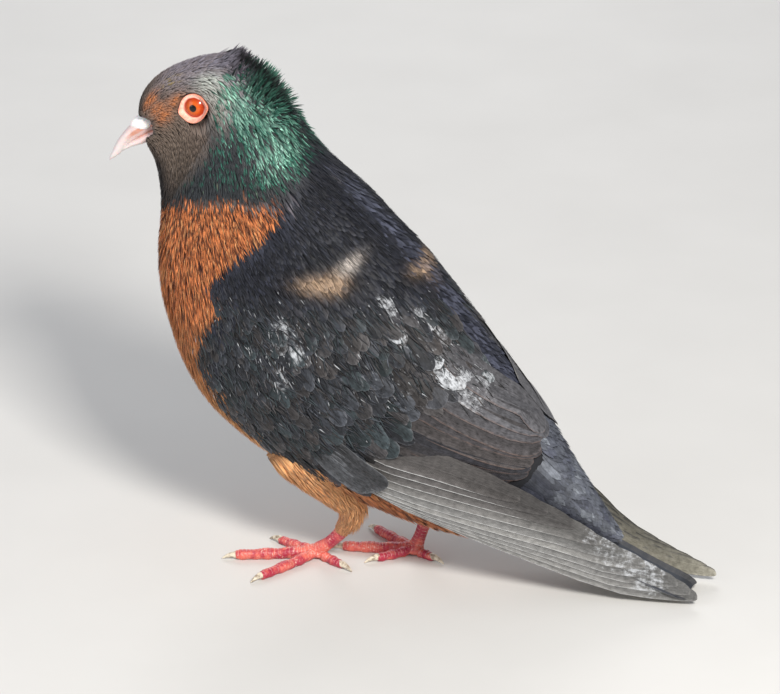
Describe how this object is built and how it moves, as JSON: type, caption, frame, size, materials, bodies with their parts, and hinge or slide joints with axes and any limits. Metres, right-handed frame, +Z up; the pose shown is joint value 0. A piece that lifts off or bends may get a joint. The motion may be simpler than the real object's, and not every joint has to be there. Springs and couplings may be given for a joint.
{
  "type": "pigeon",
  "caption": "Crested pigeon standing still: chestnut breast, green-glossed dark neck, slate wings folded down to the floor, red feet",
  "frame": {"origin": "middle of the bird in plan, on the floor it stands on", "axes": "+Z up, -X the way the bird faces, -Y its left side"},
  "size_m": [0.2734, 0.09, 0.2353],
  "materials": {
    "hood": "grey-brown and purple-grey head feathers, matt",
    "hackle": "dark neck feathers with a green gloss",
    "bronze": "chestnut breast feathers, matt",
    "mantle": "blue-black back feathers, faint gloss",
    "wing": "slate wing feathers with rust-brown edges",
    "flight": "grey-brown flight feathers with pale edges",
    "tail": "dark grey-blue tail feathers",
    "buff": "orange-buff belly and thigh feathers",
    "scute": "red scaled skin of the legs and toes",
    "horn": "pinkish horn of the bill",
    "claw": "cream horn of the claws",
    "cere": "powdery white skin over the nostrils",
    "iris": "orange-red eye with a clear, wet front",
    "lid": "bare salmon-pink skin round the eye"
  },
  "bodies": {
    "root": {"back": "mantle", "belly": "buff", "bill_lower": "horn", "bill_upper": "horn", "breast": "bronze", "cere": "cere", "claw_left_hind": "claw", "claw_left_inner": "claw", "claw_left_middle": "claw", "claw_left_outer": "claw", "claw_right_hind": "claw", "claw_right_inner": "claw", "claw_right_middle": "claw", "claw_right_outer": "claw", "crest": "hackle", "eye_left": "iris", "eye_right": "iris", "eye_ring_left": "lid", "eye_ring_right": "lid", "foot_left": "scute", "foot_right": "scute", "head": "hood", "neck": "hackle", "rump": "mantle", "shank_left": "scute", "shank_right": "scute", "tail": "tail", "thigh_left": "buff", "thigh_right": "buff", "toe_left_hind": "scute", "toe_left_inner": "scute", "toe_left_middle": "scute", "toe_left_outer": "scute", "toe_right_hind": "scute", "toe_right_inner": "scute", "toe_right_middle": "scute", "toe_right_outer": "scute", "wing_coverts_left": "wing", "wing_coverts_right": "wing", "wing_primaries_left": "flight", "wing_primaries_right": "flight", "wing_secondaries_left": "wing", "wing_secondaries_right": "wing"}
  },
  "joints": []
}
